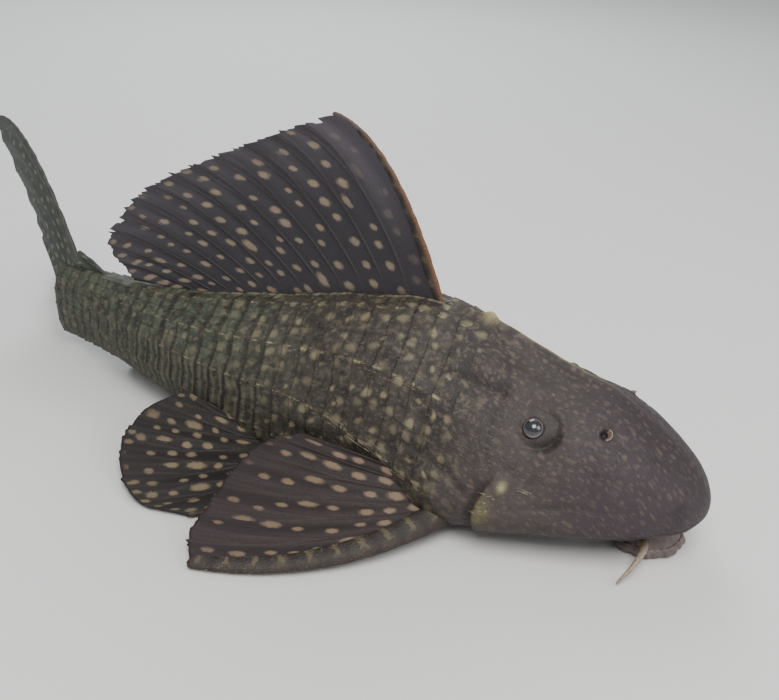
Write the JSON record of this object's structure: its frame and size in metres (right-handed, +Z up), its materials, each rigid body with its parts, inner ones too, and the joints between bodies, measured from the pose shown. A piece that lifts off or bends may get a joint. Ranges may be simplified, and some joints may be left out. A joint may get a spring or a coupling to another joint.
{
  "type": "sailfin pleco",
  "caption": "Life-size still model of a spotted sailfin pleco resting on the bottom, its tail swung to the left, tall dorsal fin raised and sucker mouth on the floor.",
  "frame": {"origin": "on the flat of the belly, on the floor under the front of the dorsal fin, on the trunk's middle line", "axes": "+X along the trunk toward the head, +Y to the fish's left, +Z up from the floor"},
  "size_m": [0.3378, 0.1738, 0.1237],
  "materials": {
    "skin": "satin, bony plates",
    "fin": "satin membrane with tan spots",
    "spine": "satin, rough bone",
    "lip": "satin soft skin",
    "eye": "wet gloss"
  },
  "bodies": {
    "root": {"head": "skin", "torso_front": "skin", "torso_rear": "skin", "tail": "skin", "eye_right": "eye", "eye_left": "eye", "lip_disc": "lip", "barbel_right": "lip", "barbel_left": "lip", "dorsal_fin": "fin", "adipose_fin": "spine", "caudal_fin": "fin", "anal_fin": "fin", "pectoral_fin_right": "fin", "pectoral_fin_left": "fin", "pelvic_fin_right": "fin", "pelvic_fin_left": "fin"}
  },
  "joints": []
}
